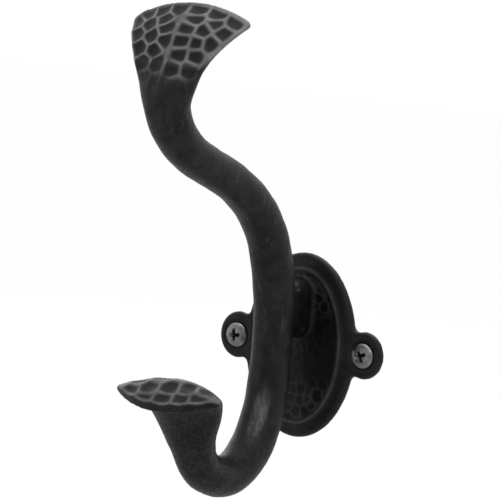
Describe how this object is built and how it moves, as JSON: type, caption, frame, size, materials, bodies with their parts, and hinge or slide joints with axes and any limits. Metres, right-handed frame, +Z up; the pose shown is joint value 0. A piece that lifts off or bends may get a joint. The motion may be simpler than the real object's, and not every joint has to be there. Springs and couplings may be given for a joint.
{
  "type": "hat and coat hook",
  "caption": "Cast hammered hat and coat hook with a fanned hat head, a rolled coat tip and an oval two-screw wall plate.",
  "frame": {"origin": "middle of the oval plate's back face, on the wall", "axes": "+Z up along the wall, +Y into the wall, +X to the right as seen from the room"},
  "size_m": [0.0622, 0.0982, 0.1539],
  "materials": {
    "black_iron": "hammered, blackened and waxed, worn to bare metal on the edges",
    "screw_steel": "satin, darkened in the cross recess"
  },
  "bodies": {
    "root": {"hook_casting": "black_iron", "screw_left": "screw_steel", "screw_right": "screw_steel"}
  },
  "joints": []
}
